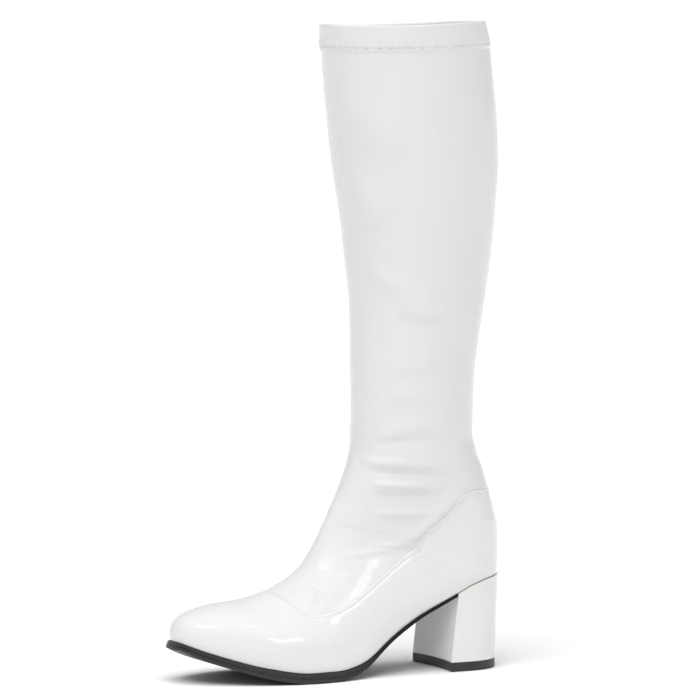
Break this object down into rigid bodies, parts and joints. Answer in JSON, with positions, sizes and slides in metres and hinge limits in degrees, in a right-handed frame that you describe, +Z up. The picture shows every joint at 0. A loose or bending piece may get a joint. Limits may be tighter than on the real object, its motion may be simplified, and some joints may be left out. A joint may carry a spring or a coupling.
{
  "type": "go go boot",
  "caption": "Knee-high go go boot for the left foot: white patent upper and covered block heel, black sole, plain stitched hem, standing on its heel and forefoot",
  "frame": {"origin": "centre of the flat wearing face of the heel's top piece, on the floor", "axes": "+Z up along the shaft, -X towards the toe, -Y towards the outer side of the left foot"},
  "size_m": [0.2422, 0.1096, 0.4458],
  "materials": {
    "white_patent": "glossy white patent",
    "black_rubber": "satin black moulded rubber",
    "sock_lining": "matt off-white sock lining",
    "heel_cover": "glossy white patent stretched over the block"
  },
  "bodies": {
    "root": {"upper": "white_patent", "insole": "sock_lining", "outsole": "black_rubber", "heel": "heel_cover", "top_piece": "black_rubber"}
  },
  "joints": []
}
